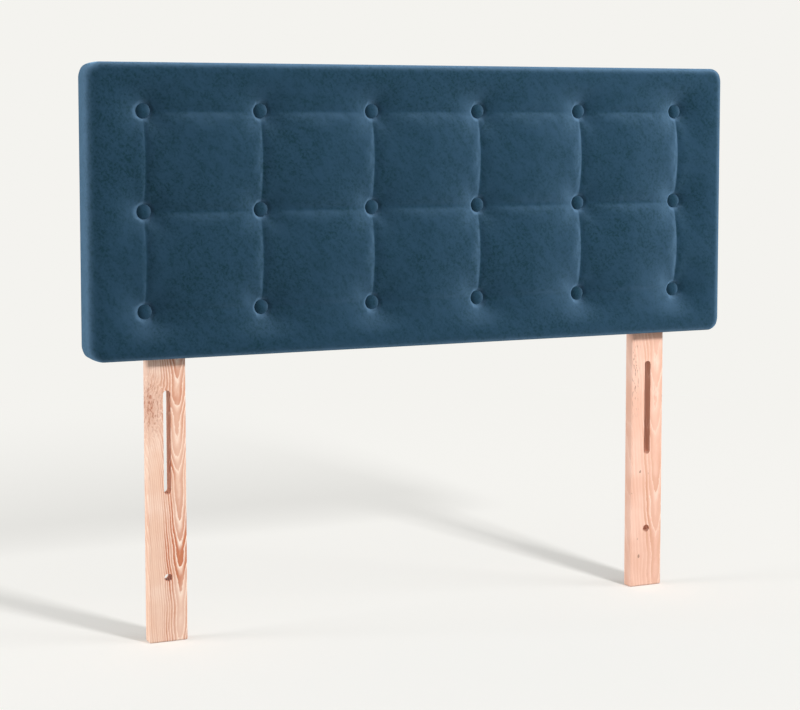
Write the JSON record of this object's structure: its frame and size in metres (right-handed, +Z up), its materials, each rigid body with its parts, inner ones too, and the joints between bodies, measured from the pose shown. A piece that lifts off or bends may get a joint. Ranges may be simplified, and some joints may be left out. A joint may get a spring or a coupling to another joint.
{
  "type": "headboard",
  "caption": "Button-tufted upholstered headboard panel on two slotted wooden legs, adjustable in height, that bolts to a bed frame",
  "frame": {"origin": "midway between the two round bed bolt holes, on the front faces of the legs", "axes": "+X to the right as seen from the bed, -Y out of the upholstered front, +Z up"},
  "size_m": [1, 0.0557, 0.8],
  "materials": {
    "velvet": "dark petrol blue velvet with a soft nap",
    "larch": "bare sanded larch, matt",
    "plywood": "bare plywood",
    "frame_pine": "sawn pine",
    "foam": "open cell foam",
    "back_cloth": "black non-woven cloth",
    "twine": "waxed twine",
    "anchor_plastic": "matt plastic",
    "zinc_steel": "zinc plated steel"
  },
  "bodies": {
    "legs": {"left_leg": "larch", "right_leg": "larch"},
    "panel": {"velvet_cover": "velvet", "foam_pad": "foam", "face_board": "plywood", "frame_top_rail": "frame_pine", "frame_bottom_rail": "frame_pine", "frame_centre_stile": "frame_pine", "frame_left_stile": "frame_pine", "frame_right_stile": "frame_pine", "left_leg_guide": "frame_pine", "right_leg_guide": "frame_pine", "frame_screws": "zinc_steel", "button_row1_column1": "velvet", "button_row1_column2": "velvet", "button_row1_column3": "velvet", "button_row1_column4": "velvet", "button_row1_column5": "velvet", "button_row1_column6": "velvet", "button_row2_column1": "velvet", "button_row2_column2": "velvet", "button_row2_column3": "velvet", "button_row2_column4": "velvet", "button_row2_column5": "velvet", "button_row2_column6": "velvet", "button_row3_column1": "velvet", "button_row3_column2": "velvet", "button_row3_column3": "velvet", "button_row3_column4": "velvet", "button_row3_column5": "velvet", "button_row3_column6": "velvet", "button_twines": "twine", "twine_anchors": "anchor_plastic", "back_cloth": "back_cloth", "staples": "zinc_steel", "left_clamp_bolts": "zinc_steel", "left_clamp_washers": "zinc_steel", "left_tee_nuts": "zinc_steel", "right_clamp_bolts": "zinc_steel", "right_clamp_washers": "zinc_steel", "right_tee_nuts": "zinc_steel"}
  },
  "joints": [
    {"name": "panel_height", "type": "slide", "parent": "legs", "child": "panel", "axis": [0, 0, 1], "range_m": [0, 0.1]}
  ]
}
